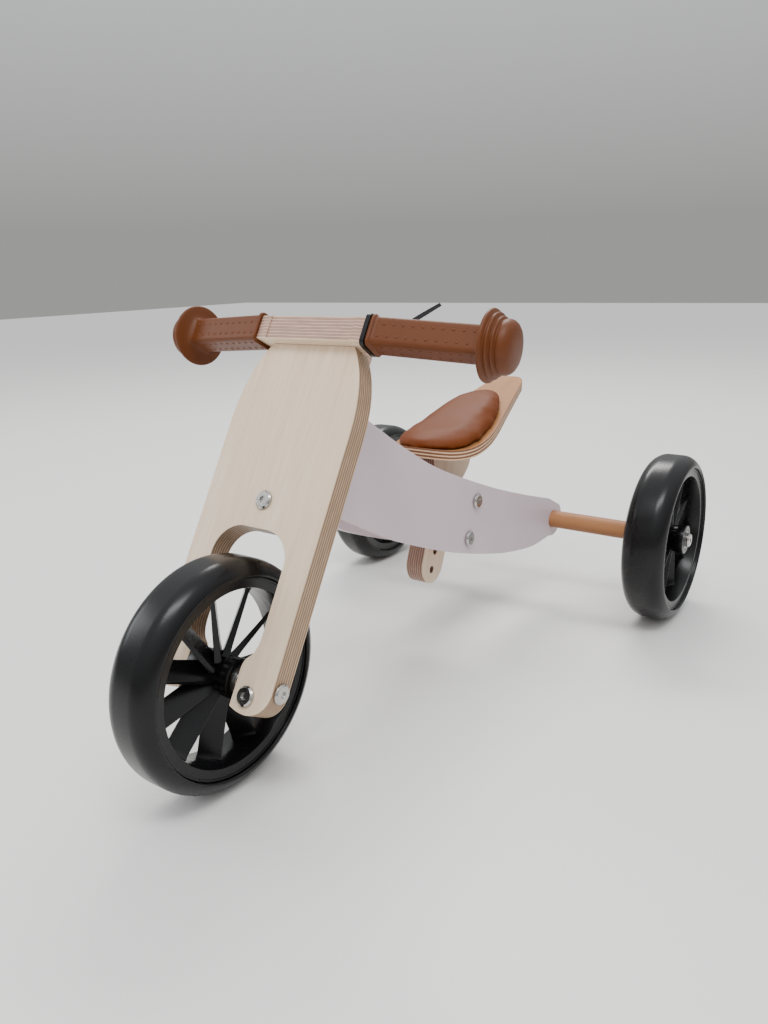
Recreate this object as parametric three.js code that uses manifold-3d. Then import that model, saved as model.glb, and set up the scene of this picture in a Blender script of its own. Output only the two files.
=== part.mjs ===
// A child's wooden tricycle: raked plywood fork, two splayed side panels, padded seat, three wheels.
// Millimetres, +Z up. The front faces -Y and the rider's left is +X. The origin is on the ground,
// halfway between the axles.
import * as THREE from 'three';
import { mergeVertices } from 'three/addons/utils/BufferGeometryUtils.js';
import Module from 'manifold-3d';

const wasm = await Module();
wasm.setup();

// ---- Overall sizes ----
const wheelbase = 530;            // front axle to rear axle
const rearTrack = 417;            // between the middles of the rear wheels
const rake = THREE.MathUtils.degToRad(31.1);   // lean of the fork and of the steering axis
const clearance = 0.3;            // between pieces that touch

// ---- Wheels, three alike ----
const wheelRadius = 98.8;
const wheelWidth = 50;
const tyreShoulder = 17;          // radius that rounds the tread into the side wall
const rimRadius = 84.7;           // seat of the tyre
const rimWidth = 40;
const barrelRadius = 75;          // inside of the rim at its edges
const barrelWaist = 72.5;         // inside of the rim at its middle
const hubRadius = 17;
const hubInset = 1;               // how far the hub stays inside the wheel's width
const spokeCount = 11;
const spokeWidth = 20;            // flat blades, turned about their own length
const spokePitch = THREE.MathUtils.degToRad(45);
const spokeRoot = 6.4;            // thickness at the hub
const spokeTip = 3.6;             // thickness at the rim
const bearingRadius = 11;
const bearingWidth = 7;
const axleRadius = 4;

// ---- Fork ----
const forkThickness = 21;
const tyreSideGap = 16;           // tyre side to the inside of a fork leg
const tyreTopGap = 24;            // tyre tread to the top of the arch
const archCorner = 28;
const legWidth = 26.3;
const footReach = 5.3;            // hub end to the inside of a foot
const footDepth = 23.5;           // axle to the lower end of a foot
const footCorner = 22;
const kneeHeight = 17;            // axle to the foot's inner step
const forkTopHalf = 45.8;
const shoulderDrop = 76;          // height over which the fork's shoulders round in
const tenonHeight = 11;
const tenonHalf = 36;
const tenonStep = 3;              // tenon behind the fork's front face
const footScrewDrop = 9.5;        // foot screw below the axle
const footScrewInset = 24;        // foot screw from the leg's outer edge

// ---- Steering head ----
const pivotSetback = 30;          // steering axis behind the fork's middle plane
const bracketAboveArch = 16.5;
const bracketThickness = 16;
const bracketHalf = 24;
const bracketLength = 41;
const thrustGap = 2;              // room for a thrust washer
const headHeight = 89.5;          // side panels' height at the steering head
const collarHeight = 42;          // round part of the steering post above the panels
const postReach = 46;             // steering post's square part, from the axis to its rear face
const bushRadius = 8;
const bushLength = 14;
const steeringRadius = 4;
const thrustRadius = 14;            // of the two nylon washers that the post turns on
const bracketBoltRadius = 3;
const bracketInsertRadius = 5;

// ---- Handlebar and grips ----
const barThickness = 22;
const barFront = 20.5;            // front face ahead of the fork's middle plane
const barRear = 50;               // rear lobe behind the fork's middle plane
const barHalf = 58;               // half length of the wide middle
const lobeHalf = 27;
const armSweep = THREE.MathUtils.degToRad(6.8);   // arms and grips lean back
const armLength = 113;
const gripWall = 1.4;
const gripCorner = 3.2;           // rounding of the grip's square barrel
const gripFlange = 102.5;           // bar's middle block to the inner face of the grip's flange
const gripLength = 126.5;
const flangeRadius = 29;
const beadStep = 1.9;             // bead at the inner end, proud of the barrel
const knobRadius = 21.8;
const collarLength = 5;           // left grip's collar under the strap
const tieWidth = 3.8;
const tieThickness = 1.6;

// ---- Side panels ----
const panelThickness = 12;
const panelRearHalf = 64;         // outer face at the rear axle, from the middle
const panelHeadGap = 3.1;          // between a panel and the steering post's collar
const panelEndRadius = 22.5;
const dowelRadius = 11;

// ---- Seat ----
const boltBeforeRearAxle = 197;   // lower seat bolt ahead of the rear axle
const boltAboveAxle = 28;
const seatLean = THREE.MathUtils.degToRad(22);
const seatPitch = 21.2;           // between the height holes
const holesBelow = 2;
const holesAbove = 3;
const boltsApart = 2;             // in holes
const postThickness = 21;
const postHalf = 22.5;
const postEnd = 15.8;             // lowest hole to the lower end
const postTopHalf = 41;
const blockHalf = 20;
const blockReach = 16;            // seat block beyond its bolts
const seatRise = 89;              // lower seat bolt to the lowest part of the seat's underside
const seatThickness = 11;
const seatHalf = 50;
const seatNose = 62;              // widest place to the nose
const seatLength = 172;           // widest place to the end of the tail
const tailHalf = 21.5;
const padThickness = 15.5;
const padInset = 1.2;
const padSink = 4;                // the pad's solid starts this far inside the board, before it is cut
const padLength = 121;            // widest place to the rear of the pad
const screwRadius = 2.5;
const screwHeadRadius = 5;
const screwLength = 34;

// ---- Fasteners ----
const headRadius = 8.5;
const boltHeadHeight = 3;
const socketRadius = 2.9;
const sleeveRadius = 5.5;
const washerThickness = 1.4;
const washerRadius = 9;

// ---- Places worked out from the sizes ----
const hubHalf = wheelWidth / 2 - hubInset;
const legInner = wheelWidth / 2 + tyreSideGap;
const forkHalf = legInner + legWidth;
const footInner = hubHalf + footReach;
const archTop = wheelRadius + tyreTopGap;
const bracketBottom = archTop + bracketAboveArch;
const bracketTop = bracketBottom + bracketThickness;
const headBottom = bracketTop + thrustGap;
const headTop = headBottom + headHeight;
const postTop = headTop + collarHeight;
const barBottom = postTop + thrustGap;
const barTop = barBottom + barThickness;
const forkTop = barBottom - clearance;
const gripAxisHeight = barBottom + barThickness / 2;
const armHalf = barThickness / 2;          // the arms are as deep as the plate is thick
const armSetback = armHalf - barFront;     // and start flush with its front face
const postRadius = pivotSetback - forkThickness / 2 - 1;
// A panel's outer face at the steering axis, from the middle.
const panelHeadHalf = postRadius + panelHeadGap + panelThickness;
const panelFront = pivotSetback + 1.5;
const rearAxleY = wheelbase;
const seatBoltY = rearAxleY - boltBeforeRearAxle;
const seatBoltZ = wheelRadius + boltAboveAxle;
const seatBase = seatBoltZ + seatRise;
const rearHubInner = rearTrack / 2 - hubHalf;
const dowelHalf = rearHubInner - washerThickness - 2 * clearance;

const steerPlace = new THREE.Matrix4().makeRotationX(-rake).setPosition(0, 0, wheelRadius);
const seatPostPlace = new THREE.Matrix4().makeRotationX(-seatLean).setPosition(0, seatBoltY, seatBoltZ);

// ---- Materials ----
const finish = (color, roughness, metalness = 0) =>
  new THREE.MeshStandardMaterial({ color, roughness, metalness });
const birch = finish(0xe3cfb1, 0.5);
const beech = finish(0xc08a5c, 0.55);
const paint = finish(0xcdbfcb, 0.5);
const leather = finish(0x8f4f24, 0.35);
const rubber = finish(0x17171a, 0.55);
const plastic = finish(0x101012, 0.4);
const gripSkin = finish(0x8a4c26, 0.5);
const nickel = finish(0xb9b7b2, 0.25, 1);
const nylon = finish(0xdedbd2, 0.5);

// ---- Helpers ----

// A solid from a closed geometry: shared vertices merged, empty triangles dropped, faces pointing out.
function solidOf(geometry, place = new THREE.Matrix4()) {
  const bare = geometry.clone();
  bare.deleteAttribute('normal');
  bare.deleteAttribute('uv');
  const merged = mergeVertices(bare.applyMatrix4(place));
  const position = merged.getAttribute('position').array;
  const index = merged.getIndex().array;
  const kept = [];
  const a = new THREE.Vector3();
  const b = new THREE.Vector3();
  const c = new THREE.Vector3();
  let volume = 0;
  for (let i = 0; i < index.length; i += 3) {
    const [p, q, r] = [index[i], index[i + 1], index[i + 2]];
    if (p === q || q === r || r === p) continue;
    kept.push([p, q, r]);
    const across = b.fromArray(position, 3 * q).cross(c.fromArray(position, 3 * r));
    volume += a.fromArray(position, 3 * p).dot(across);
  }
  const facing = volume < 0 ? kept.map(([p, q, r]) => [p, r, q]) : kept;
  return new wasm.Manifold(new wasm.Mesh({
    numProp: 3,
    vertProperties: new Float32Array(position),
    triVerts: new Uint32Array(facing.flat()),
  }));
}

// A named mesh from a solid.
function piece(name, solid, material) {
  const mesh = solid.getMesh();
  const geometry = new THREE.BufferGeometry();
  geometry.setAttribute('position', new THREE.BufferAttribute(mesh.vertProperties, 3));
  geometry.setIndex(new THREE.BufferAttribute(mesh.triVerts, 1));
  geometry.computeVertexNormals();
  const made = new THREE.Mesh(geometry, material);
  made.name = name;
  return made;
}

const move = (x, y, z) => new THREE.Matrix4().makeTranslation(x, y, z);

// Turns a shape's Z axis onto +X, -X, +Y or -Y.
const alongX = (sign = 1) => new THREE.Matrix4().makeRotationY(sign * Math.PI / 2);
const alongY = (sign = 1) => new THREE.Matrix4().makeRotationX(-sign * Math.PI / 2);

// Places a turned shape at a point.
const at = (x, y, z, turn = new THREE.Matrix4()) => move(x, y, z).multiply(turn);

// A body of revolution about Z from [radius, height] points.
function turned(points, place, segments = 20) {
  const profile = points.map(([radius, height]) => new THREE.Vector2(radius, height));
  return solidOf(new THREE.LatheGeometry(profile, segments).rotateX(Math.PI / 2), place);
}

// A ring of square section about Z, from height 0 to height.
function ring(inner, outer, height, place, segments = 14) {
  return turned([[inner, 0], [outer, 0], [outer, height], [inner, height], [inner, 0]], place, segments);
}

// A round bar about Z, from height 0 to length.
function bar(radius, length, place, segments = 14) {
  return turned([[0, 0], [radius, 0], [radius, length], [0, length]], place, segments);
}

// A box from its lowest and highest corners.
function block(low, high, place = new THREE.Matrix4()) {
  const size = high.map((value, i) => value - low[i]);
  const middle = high.map((value, i) => (value + low[i]) / 2);
  return solidOf(new THREE.BoxGeometry(...size).translate(...middle), place);
}

// A flat shape in X and Y, thickened along Z from bottom to top.
function plate(shape, bottom, top, place, curveSegments = 10) {
  const options = { depth: top - bottom, bevelEnabled: false, curveSegments };
  const geometry = new THREE.ExtrudeGeometry(shape, options);
  return solidOf(geometry.translate(0, 0, bottom), place);
}

// Lays a shape drawn in (across, up) into the plane facing -Y.
const upright = new THREE.Matrix4().makeRotationX(Math.PI / 2);
// Lays a shape drawn in (Y, Z) into the plane facing +X.
const sideways = new THREE.Matrix4().makeBasis(
  new THREE.Vector3(0, 1, 0), new THREE.Vector3(0, 0, 1), new THREE.Vector3(1, 0, 0));

const join = (first, ...rest) => rest.reduce((sum, next) => sum.add(next), first);
const cut = (first, ...rest) => rest.reduce((left, next) => left.subtract(next), first);

// A point of the steering head, (behind the fork's middle, up the fork), in the side view (Y, Z).
function headPoint(behind, height) {
  return new THREE.Vector2(
    behind * Math.cos(rake) + height * Math.sin(rake),
    wheelRadius - behind * Math.sin(rake) + height * Math.cos(rake));
}

// ---- Fasteners, each with its head's underside at the origin and its shank along -Z ----

function socket(place) {
  return bar(socketRadius, boltHeadHeight, place.clone().multiply(move(0, 0, boltHeadHeight * 0.4)), 6);
}

function bolt(shankRadius, shankLength, place) {
  const edge = boltHeadHeight * 0.45;
  const body = turned([[0, -shankLength], [shankRadius, -shankLength], [shankRadius, 0], [headRadius, 0],
    [headRadius, edge], [headRadius - 1.6, boltHeadHeight], [0, boltHeadHeight]], place, 14);
  return cut(body, socket(place));
}

// The nut that screws onto a bolt from the far side: the same head on a hollow sleeve.
function sleeveNut(length, place) {
  const edge = boltHeadHeight * 0.45;
  const boreRadius = axleRadius + clearance;
  const body = turned([
    [0, -1], [boreRadius, -1], [boreRadius, -length], [sleeveRadius, -length], [sleeveRadius, 0],
    [headRadius, 0], [headRadius, edge], [headRadius - 1.6, boltHeadHeight], [0, boltHeadHeight],
  ], place, 14);
  return cut(body, socket(place));
}

function washer(place, outer = washerRadius, inner = axleRadius) {
  return ring(inner + clearance, outer, washerThickness, place);
}

// A hexagon nut whose flat face is at the origin and which stands along +Z.
function hexNut(height, acrossCorners, boreRadius, place) {
  return cut(bar(acrossCorners / 2, height, place, 6),
    bar(boreRadius, height + 2, place.clone().multiply(move(0, 0, -1)), 16));
}

// ---- Wheels, about the X axis at the origin ----

function tyreProfile() {
  const half = wheelWidth / 2;
  const points = [[rimRadius + clearance, -rimWidth / 2 - 1]];
  const arc = (from, to, side) => {
    for (let step = 0; step <= 3; step += 1) {
      const angle = THREE.MathUtils.degToRad(from + (to - from) * step / 3);
      points.push([wheelRadius - tyreShoulder + tyreShoulder * Math.cos(angle),
        side * (half - tyreShoulder) + tyreShoulder * Math.sin(angle)]);
    }
  };
  arc(-78, 0, -1);
  arc(0, 78, 1);
  points.push([rimRadius + clearance, rimWidth / 2 + 1]);
  points.push(points[0]);
  return points;
}

function tyre() {
  return turned(tyreProfile(), alongX(), 28);
}

// A flat blade that thins towards the rim, turned about its own length.
function spoke(turn) {
  const root = hubRadius - 4;
  const tip = barrelWaist + 2;
  const side = new THREE.Shape();
  side.moveTo(-spokeRoot / 2, root);
  side.lineTo(spokeRoot / 2, root);
  side.lineTo(spokeTip / 2, tip);
  side.lineTo(-spokeTip / 2, tip);
  side.closePath();
  const place = turn.clone().multiply(new THREE.Matrix4().makeRotationZ(-spokePitch)).multiply(sideways);
  return plate(side, -spokeWidth / 2, spokeWidth / 2, place);
}

function rim() {
  const seat = bearingRadius + clearance;
  const bore = axleRadius + 2;
  const edge = hubHalf - bearingWidth - clearance;
  const hub = turned([
    [bore, -edge], [seat, -edge], [seat, -hubHalf], [hubRadius, -hubHalf], [hubRadius, hubHalf],
    [seat, hubHalf], [seat, edge], [bore, edge], [bore, -edge]], alongX(), 20);
  const lip = rimWidth / 2;
  const barrel = turned([[barrelRadius, -lip], [rimRadius, -lip], [rimRadius, lip], [barrelRadius, lip],
    [barrelWaist, 0], [barrelRadius, -lip]], alongX(), 28);
  const spokes = [];
  for (let i = 0; i < spokeCount; i += 1) {
    const turn = new THREE.Matrix4().makeRotationX(2 * Math.PI * i / spokeCount);
    spokes.push(spoke(turn));
  }
  return join(hub, barrel, ...spokes);
}

function bearing(side) {
  const face = side * hubHalf;
  return ring(axleRadius + clearance, bearingRadius, bearingWidth, at(face, 0, 0, alongX(-side)));
}

function wheel(name) {
  const group = new THREE.Group();
  group.add(piece(`${name}_tyre`, tyre(), rubber));
  group.add(piece(`${name}_rim`, rim(), plastic));
  group.add(piece(`${name}_bearing_left`, bearing(1), nickel));
  group.add(piece(`${name}_bearing_right`, bearing(-1), nickel));
  return group;
}

// ---- Fork, in the steering frame: X across, Y behind the fork's middle plane, Z up the fork ----

function forkShape() {
  const shape = new THREE.Shape();
  const legTop = forkTop - shoulderDrop;
  shape.moveTo(-tenonHalf, forkTop + tenonHeight);
  shape.lineTo(-tenonHalf, forkTop);
  shape.lineTo(-forkTopHalf, forkTop);
  shape.quadraticCurveTo(-forkHalf, forkTop - shoulderDrop * 0.39, -forkHalf, legTop);
  shape.lineTo(-forkHalf, footCorner - footDepth);
  shape.absarc(footCorner - forkHalf, footCorner - footDepth, footCorner, Math.PI, 1.5 * Math.PI, false);
  shape.quadraticCurveTo(-footInner - 8, -footDepth, -footInner, 3 - footDepth);
  shape.lineTo(-footInner, kneeHeight - 8);
  shape.quadraticCurveTo(-footInner, kneeHeight, (-footInner - legInner) / 2, kneeHeight + 4);
  shape.quadraticCurveTo(-legInner, kneeHeight + 10, -legInner, kneeHeight + 22);
  shape.lineTo(-legInner, archTop - archCorner);
  shape.absarc(archCorner - legInner, archTop - archCorner, archCorner, Math.PI, Math.PI / 2, true);
  shape.lineTo(legInner - archCorner, archTop);
  shape.absarc(legInner - archCorner, archTop - archCorner, archCorner, Math.PI / 2, 0, true);
  shape.lineTo(legInner, kneeHeight + 22);
  shape.quadraticCurveTo(legInner, kneeHeight + 10, (footInner + legInner) / 2, kneeHeight + 4);
  shape.quadraticCurveTo(footInner, kneeHeight, footInner, kneeHeight - 8);
  shape.lineTo(footInner, 3 - footDepth);
  shape.quadraticCurveTo(footInner + 8, -footDepth, forkHalf - footCorner, -footDepth);
  shape.absarc(forkHalf - footCorner, footCorner - footDepth, footCorner, -Math.PI / 2, 0, false);
  shape.lineTo(forkHalf, legTop);
  shape.quadraticCurveTo(forkHalf, forkTop - shoulderDrop * 0.39, forkTopHalf, forkTop);
  shape.lineTo(tenonHalf, forkTop);
  shape.lineTo(tenonHalf, forkTop + tenonHeight);
  shape.closePath();
  return shape;
}

const footScrewX = forkHalf - footScrewInset;
const bracketBoltHeight = bracketBottom + bracketThickness / 2;
const axleSleeveLength = legWidth - 4;

function forkBoard() {
  const half = forkThickness / 2;
  const board = plate(forkShape(), -half, half, upright, 11);
  const holes = [
    block([-forkHalf, -half - 1, forkTop], [forkHalf, tenonStep - half, forkTop + tenonHeight + 1]),
    bar(axleRadius + clearance, 2 * forkHalf + 2, at(-forkHalf - 1, 0, 0, alongX()), 12),
    bar(sleeveRadius + clearance, axleSleeveLength + 1, at(-forkHalf - 1, 0, 0, alongX()), 12),
    bar(bracketBoltRadius + clearance, forkThickness + 2, at(0, -half - 1, bracketBoltHeight, alongY()), 10),
  ];
  for (const side of [1, -1]) {
    holes.push(bar(bracketBoltRadius + clearance, forkThickness + 2,
      at(side * footScrewX, -half - 1, -footScrewDrop, alongY()), 10));
  }
  return cut(board, ...holes);
}

// ---- Steering bracket and the bolts that hold the fork's pieces ----

function steeringBracket() {
  const front = forkThickness / 2 + clearance;
  const round = 8;
  const outline = new THREE.Shape();
  outline.moveTo(-bracketHalf, front);
  outline.lineTo(bracketHalf, front);
  outline.lineTo(bracketHalf, front + bracketLength - round);
  outline.absarc(bracketHalf - round, front + bracketLength - round, round, 0, Math.PI / 2, false);
  outline.absarc(round - bracketHalf, front + bracketLength - round, round, Math.PI / 2, Math.PI, false);
  outline.closePath();
  const pivotPlace = move(0, pivotSetback, bracketBottom - 1);
  const pivot = bar(steeringRadius + clearance, bracketThickness + 2, pivotPlace, 12);
  const seat = bar(bracketInsertRadius + clearance, insertLength() + clearance + 1,
    at(0, front - 1, bracketBoltHeight, alongY()), 12);
  return cut(plate(outline, bracketBottom, bracketTop, undefined, 5), pivot, seat);
}

// The threaded insert stops short of the steering bolt.
function insertLength() {
  return pivotSetback - steeringRadius - forkThickness / 2 - 3;
}

function bracketInsert() {
  return ring(bracketBoltRadius + clearance, bracketInsertRadius, insertLength(),
    at(0, forkThickness / 2 + 2 * clearance, bracketBoltHeight, alongY()), 12);
}

function bracketBolt() {
  return bolt(bracketBoltRadius, forkThickness + insertLength() - 1,
    at(0, -forkThickness / 2 - clearance, bracketBoltHeight, alongY(-1)));
}

function steeringBolt() {
  const top = barTop + washerThickness + 2 * clearance;
  return bolt(steeringRadius, top - bracketBottom + 9, move(0, pivotSetback, top));
}

function footScrew(side) {
  return bolt(bracketBoltRadius, forkThickness + 7,
    at(side * footScrewX, -forkThickness / 2 - clearance, -footScrewDrop, alongY(-1)));
}

function footNut(side) {
  return hexNut(5, 11.5, bracketBoltRadius + clearance,
    at(side * footScrewX, forkThickness / 2 + clearance, -footScrewDrop, alongY()));
}

// ---- Handlebar: one thick plate, a wide middle with a rear lobe, and an arm for each grip ----

// One arm's frame: X along the bar's side, swept back with the arm, from the middle block's end face.
function armFrame(side) {
  return at(side * (barHalf - armHalf * Math.tan(armSweep)), armSetback, gripAxisHeight)
    .multiply(new THREE.Matrix4().makeRotationZ(side * armSweep));
}

// Places a turned shape along one arm, outwards from the middle block.
const armPlace = (side) => armFrame(side).multiply(alongX(side));

function handlebarShape() {
  const shape = new THREE.Shape();
  const armRear = armSetback + armHalf;
  const rearHalf = barHalf - 2 * armHalf * Math.tan(armSweep);
  const lobeRound = 16;
  shape.moveTo(-barHalf, -barFront);
  shape.lineTo(barHalf, -barFront);
  shape.lineTo(rearHalf, armRear);
  shape.bezierCurveTo(lobeHalf + 12, armRear, lobeHalf, armRear + 12, lobeHalf, barRear - lobeRound);
  shape.quadraticCurveTo(lobeHalf, barRear, lobeHalf - lobeRound, barRear);
  shape.lineTo(lobeRound - lobeHalf, barRear);
  shape.quadraticCurveTo(-lobeHalf, barRear, -lobeHalf, barRear - lobeRound);
  shape.bezierCurveTo(-lobeHalf, armRear + 12, -lobeHalf - 12, armRear, -rearHalf, armRear);
  shape.closePath();
  return shape;
}

function handlebarArm(side) {
  const along = [-armHalf, armLength].map((end) => side * end).sort((a, b) => a - b);
  return block([along[0], -armHalf, -armHalf], [along[1], armHalf, armHalf], armFrame(side));
}

function handlebar() {
  const middle = plate(handlebarShape(), barBottom, barTop, undefined, 10);
  const slot = block([-tenonHalf - clearance, tenonStep - forkThickness / 2 - clearance, barBottom - 1],
    [tenonHalf + clearance, forkThickness / 2 + clearance, forkTop + tenonHeight + clearance]);
  const pivot = bar(steeringRadius + clearance, barThickness + 2, move(0, pivotSetback, barBottom - 1), 12);
  return cut(join(middle, handlebarArm(1), handlebarArm(-1)), slot, pivot);
}

// A square with rounded corners.
function roundedSquare(half, corner) {
  const shape = new THREE.Shape();
  const flat = half - corner;
  [[flat, flat], [-flat, flat], [-flat, -flat], [flat, -flat]].forEach(([x, y], i) => {
    shape.absarc(x, y, corner, i * Math.PI / 2, (i + 1) * Math.PI / 2, false);
  });
  shape.closePath();
  return shape;
}

// The grip's round end as [radius, distance from the bar's middle block]: three steps and a knob.
function gripEndProfile(flange, tip) {
  return [
    [0, flange - 2.5], [armHalf * Math.SQRT2 - 1, flange - 2.5], [flangeRadius - 1.5, flange],
    [flangeRadius, flange + 1.4], [flangeRadius - 1, flange + 3.4], [flangeRadius - 3.4, flange + 3.8],
    [flangeRadius - 2.8, flange + 7], [flangeRadius - 5.8, flange + 7.6], [flangeRadius - 5.2, flange + 10.4],
    [knobRadius - 0.8, flange + 11], [knobRadius, flange + 14], [knobRadius - 1.6, flange + 18.5],
    [knobRadius - 6, tip - 2.4], [knobRadius * 0.42, tip - 0.5], [0, tip],
  ];
}

// A square barrel with a bead at its inner end, on a collar for the strap if it has one.
function grip(side, collar) {
  const place = armPlace(side);
  const inside = armHalf + clearance;
  const barrelHalf = inside + gripWall;
  const start = collar > 0 ? clearance : 2 * clearance;
  const bead = collar + 2 * clearance;
  const flange = gripFlange + collar;
  const barrel = plate(roundedSquare(barrelHalf, gripCorner), start, flange, place, 3);
  const ridge = plate(roundedSquare(barrelHalf + beadStep, gripCorner + beadStep), bead, bead + 3, place, 3);
  const end = turned(gripEndProfile(flange, gripLength + collar), place, 22);
  const bore = block([-inside, -inside, 0], [inside, inside, armLength + clearance], place);
  return cut(join(barrel, ridge, end), bore);
}

// A thin strap around the left grip's collar, with its lock at the back and a free tail rising past it.
function cableTie() {
  const inner = armHalf + gripWall + 2 * clearance;
  const start = 2 * clearance;
  const end = start + tieWidth;
  const outside = roundedSquare(inner + tieThickness, gripCorner + tieThickness);
  const loop = cut(plate(outside, start, end, armPlace(1), 3),
    plate(roundedSquare(inner, gripCorner), start - 1, end + 1, armPlace(1), 3));
  const lock = block([start, inner + 1, -3], [end, inner + 5.4, 4], armFrame(1));
  const tail = new THREE.Shape();
  tail.moveTo(start, 0);
  tail.quadraticCurveTo(start + 26, 22, start + 48, 40);
  tail.lineTo(start + 46, 42);
  tail.quadraticCurveTo(start + 22, 25, start, 3.5);
  tail.closePath();
  const strap = plate(tail, -inner - 5.2, -inner - 3.8, armFrame(1).multiply(upright), 6);
  return join(loop, lock, strap);
}

// ---- Side panels, in the side view (Y, Z), splayed apart towards the rear ----

const headMiddle = headPoint(pivotSetback, (headBottom + headTop) / 2);
const splay = Math.atan2(panelRearHalf - panelHeadHalf, rearAxleY - headMiddle.x);

const fromSeat = (y, z) => new THREE.Vector2(seatBoltY + y, seatBoltZ + z);
const fromAxle = (y, z) => new THREE.Vector2(rearAxleY + y, wheelRadius + z);

function panelShape() {
  const top = [
    headPoint(panelFront + 5, headTop), headPoint(panelFront + 40, headTop - 2), fromSeat(-109, 121),
    fromSeat(-54, 90), fromSeat(39, 51), fromAxle(-76, 50), fromAxle(-12, 30),
  ];
  const bottom = [
    fromAxle(-9, -20.5), fromAxle(-54, -22.5), fromAxle(-110, -14), fromSeat(41, -30.5),
    fromSeat(-22, -11), fromSeat(-85, 13.5), fromSeat(-136, 37),
    headPoint(panelFront + 28, headBottom - 1.5), headPoint(panelFront + 5, headBottom),
  ];
  const shape = new THREE.Shape();
  shape.moveTo(top[0].x, top[0].y);
  shape.splineThru(top.slice(1));
  shape.absarc(rearAxleY, wheelRadius, panelEndRadius, 0.75, -1.95, true);
  shape.splineThru(bottom);
  const low = headPoint(panelFront, headBottom + 5);
  const high = headPoint(panelFront, headTop - 5);
  shape.lineTo(low.x, low.y);
  shape.lineTo(high.x, high.y);
  shape.closePath();
  return shape;
}

// Puts a side view shape's outer face on the splayed plane of one side.
function panelPlace(side) {
  return move(side * panelRearHalf, rearAxleY, 0)
    .multiply(new THREE.Matrix4().makeRotationZ(-side * splay))
    .multiply(move(0, -rearAxleY, 0))
    .multiply(sideways);
}

function sidePanel(side) {
  const [bottom, top] = side > 0 ? [-panelThickness, 0] : [0, panelThickness];
  const board = plate(panelShape(), bottom, top, panelPlace(side), 7);
  const axlePlace = at(-2 * panelRearHalf, rearAxleY, wheelRadius, alongX());
  const axle = bar(dowelRadius + clearance, 4 * panelRearHalf, axlePlace, 20);
  const radius = side > 0 ? axleRadius : sleeveRadius;
  const bolts = seatBoltPlaces().map(([y, z]) =>
    bar(radius + clearance, 4 * panelRearHalf, at(-2 * panelRearHalf, y, z, alongX()), 12));
  return cut(board, axle, ...bolts, bracketRoom());
}

// The round space behind the fork in which the lower bracket swings.
function bracketRoom() {
  const front = pivotSetback - forkThickness / 2 - clearance;
  const reach = Math.hypot(bracketHalf, Math.max(front, bracketLength - front)) + 1;
  const place = steerPlace.clone().multiply(move(0, pivotSetback, bracketBottom - 2 * bracketThickness));
  return bar(reach, 3 * bracketThickness + clearance, place, 24);
}

// The space between the panels, kept clear of their inner faces, in a wanted frame.
function betweenPanels(frame = new THREE.Matrix4()) {
  const length = rearAxleY + 400;
  const inner = (y) => panelRearHalf - panelThickness / Math.cos(splay) - clearance
    + (y - rearAxleY) * Math.tan(splay);
  const plan = new THREE.Shape();
  plan.moveTo(-inner(-40), -40);
  plan.lineTo(inner(-40), -40);
  plan.lineTo(inner(length), length);
  plan.lineTo(-inner(length), length);
  plan.closePath();
  return plate(plan, -200, 900, frame);
}

// ---- Steering post: a round collar about the steering axis, and a square part between the panels ----

function steeringPost() {
  const place = move(0, pivotSetback, headBottom);
  const collar = bar(postRadius, postTop - headBottom, place, 24);
  const rear = block([-panelRearHalf, panelFront, headBottom + 2],
    [panelRearHalf, pivotSetback + postReach, headTop - 3]).intersect(betweenPanels(steerPlace.clone().invert()));
  const neck = block([-postRadius * 0.9, pivotSetback, headBottom + 2],
    [postRadius * 0.9, panelFront + 4, headTop - 3]);
  const bore = bar(steeringRadius + 1, postTop - headBottom + 2, move(0, pivotSetback, headBottom - 1), 12);
  const pocket = bushLength + clearance;
  const low = bar(bushRadius + clearance, pocket + 1, move(0, pivotSetback, headBottom - 1));
  const high = bar(bushRadius + clearance, pocket + 1, move(0, pivotSetback, postTop - pocket));
  return cut(join(collar, rear, neck), bore, low, high);
}

function headBush(end) {
  const bottom = end > 0 ? postTop - bushLength : headBottom;
  return ring(steeringRadius + clearance, bushRadius, bushLength, move(0, pivotSetback, bottom));
}

// ---- Seat post, in its own leaning frame: Z up the post from the lower bolt ----

function seatBoltPlaces() {
  return [0, boltsApart].map((step) => [
    seatBoltY + step * seatPitch * Math.sin(seatLean), seatBoltZ + step * seatPitch * Math.cos(seatLean)]);
}

function seatPostShape() {
  const end = -holesBelow * seatPitch - postEnd;
  const flareStart = (boltsApart + 0.2) * seatPitch;
  const high = seatRise + 60;
  const shape = new THREE.Shape();
  shape.moveTo(-postHalf, end + postHalf);
  shape.absarc(0, end + postHalf, postHalf, Math.PI, 2 * Math.PI, false);
  shape.lineTo(postHalf, flareStart);
  shape.bezierCurveTo(postHalf, flareStart + 20, postTopHalf, seatRise - 16, postTopHalf, seatRise + 4);
  shape.lineTo(postTopHalf, high);
  shape.lineTo(-postTopHalf, high);
  shape.lineTo(-postTopHalf, seatRise - 4);
  shape.bezierCurveTo(-postTopHalf, seatRise - 24, -postHalf, flareStart + 20, -postHalf, flareStart);
  shape.closePath();
  return shape;
}

function seatPost() {
  const half = postThickness / 2;
  const blank = plate(seatPostShape(), -half, half, seatPostPlace.clone().multiply(sideways), 10);
  const holes = [];
  for (let step = -holesBelow; step <= holesAbove; step += 1) {
    const place = seatPostPlace.clone().multiply(at(-half - 1, 0, step * seatPitch, alongX()));
    holes.push(bar(axleRadius + clearance, postThickness + 2, place, 16));
  }
  const above = seatSheet(-clearance, 2 * seatRise);
  const screws = seatScrewPlaces().map((place) =>
    bar(screwRadius + clearance, 2 * screwLength, place, 12));
  return cut(blank, ...holes, above, ...screws);
}

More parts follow.
